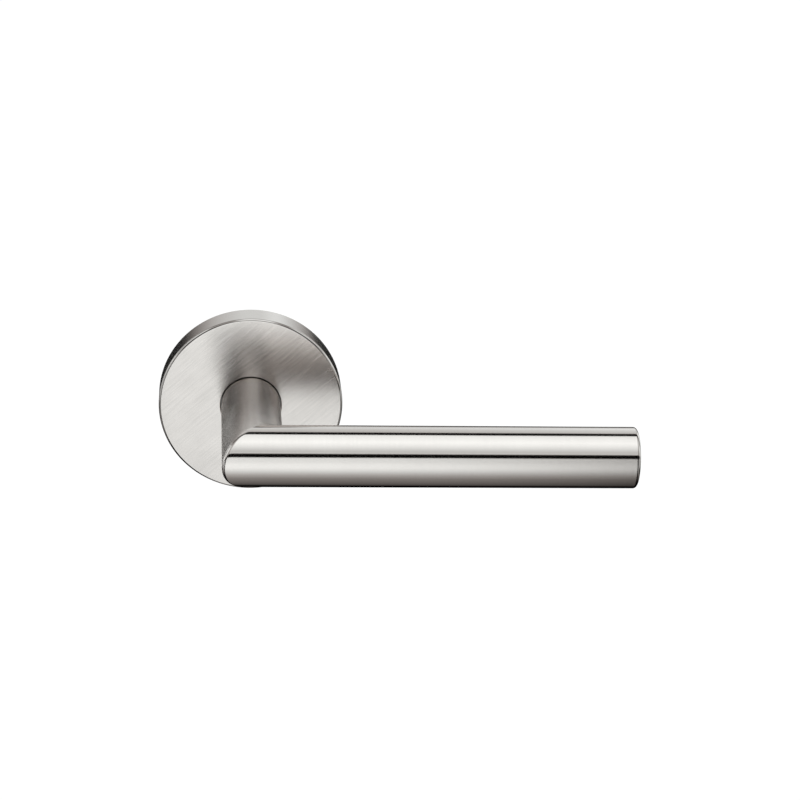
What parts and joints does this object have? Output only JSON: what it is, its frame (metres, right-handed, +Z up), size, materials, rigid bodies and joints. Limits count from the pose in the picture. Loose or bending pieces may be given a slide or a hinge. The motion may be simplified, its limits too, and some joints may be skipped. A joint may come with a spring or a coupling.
{
  "type": "door lever handle",
  "caption": "Straight round-tube door lever with a mitred corner on a flat round rose, with a sprung mounting plate, square spindle and through-door fixings.",
  "frame": {"origin": "on the lever's turning axis, in the plane of the door face where the rose's mounting plate rests", "axes": "+Y into the door along the turning axis, +X along the grip from the neck to its free end, +Z up"},
  "size_m": [0.1555, 0.1115, 0.062],
  "materials": {
    "grip_satin_steel": "satin stainless steel, brushed round the tube",
    "neck_satin_steel": "satin stainless steel, brushed round the tube",
    "cap_satin_steel": "satin stainless steel, turned",
    "cover_satin_steel": "satin stainless steel, brushed straight across",
    "machined_steel": "turned steel",
    "black_steel": "black oxide on steel",
    "spindle_zinc_plate": "drawn steel, yellow zinc plated",
    "pressed_steel": "pressed steel, zinc plated",
    "spring_steel": "oiled spring steel",
    "zinc_casting": "bare zinc die casting",
    "white_acetal": "moulded acetal",
    "black_acetal": "moulded acetal",
    "black_rubber": "nitrile rubber",
    "yellow_zinc_steel": "yellow zinc plated steel",
    "bright_zinc_steel": "bright zinc plated steel"
  },
  "bodies": {
    "rose": {"mounting_plate": "zinc_casting", "neck_bush": "white_acetal", "return_spring": "spring_steel", "cover_seal_ring": "black_rubber", "bolt_sleeve_left": "yellow_zinc_steel", "bolt_sleeve_right": "yellow_zinc_steel", "through_bolt_left": "bright_zinc_steel", "through_bolt_right": "bright_zinc_steel", "wood_screw_top": "yellow_zinc_steel", "wood_screw_bottom": "yellow_zinc_steel"},
    "lever": {"grip_tube": "grip_satin_steel", "neck_tube": "neck_satin_steel", "grip_end_cap": "cap_satin_steel", "spindle_socket": "machined_steel", "neck_grub_screw": "black_steel", "spindle": "spindle_zinc_plate", "drive_plate": "pressed_steel", "thrust_washer": "pressed_steel", "retaining_ring": "spring_steel"},
    "cover": {"rose_cover": "cover_satin_steel", "cover_guide_ring": "black_acetal"}
  },
  "joints": [
    {"name": "lever_turn", "type": "hinge", "parent": "rose", "child": "lever", "pos_m": [0, 0, 0], "axis": [0, 1, 0], "range_deg": [0, 45], "stiffness_Nm_per_rad": 1, "springref_deg": -22.92, "deforming": ["return_spring"]},
    {"name": "cover_slide", "type": "slide", "parent": "rose", "child": "cover", "axis": [0, -1, 0], "range_m": [0, 0.0315]}
  ]
}
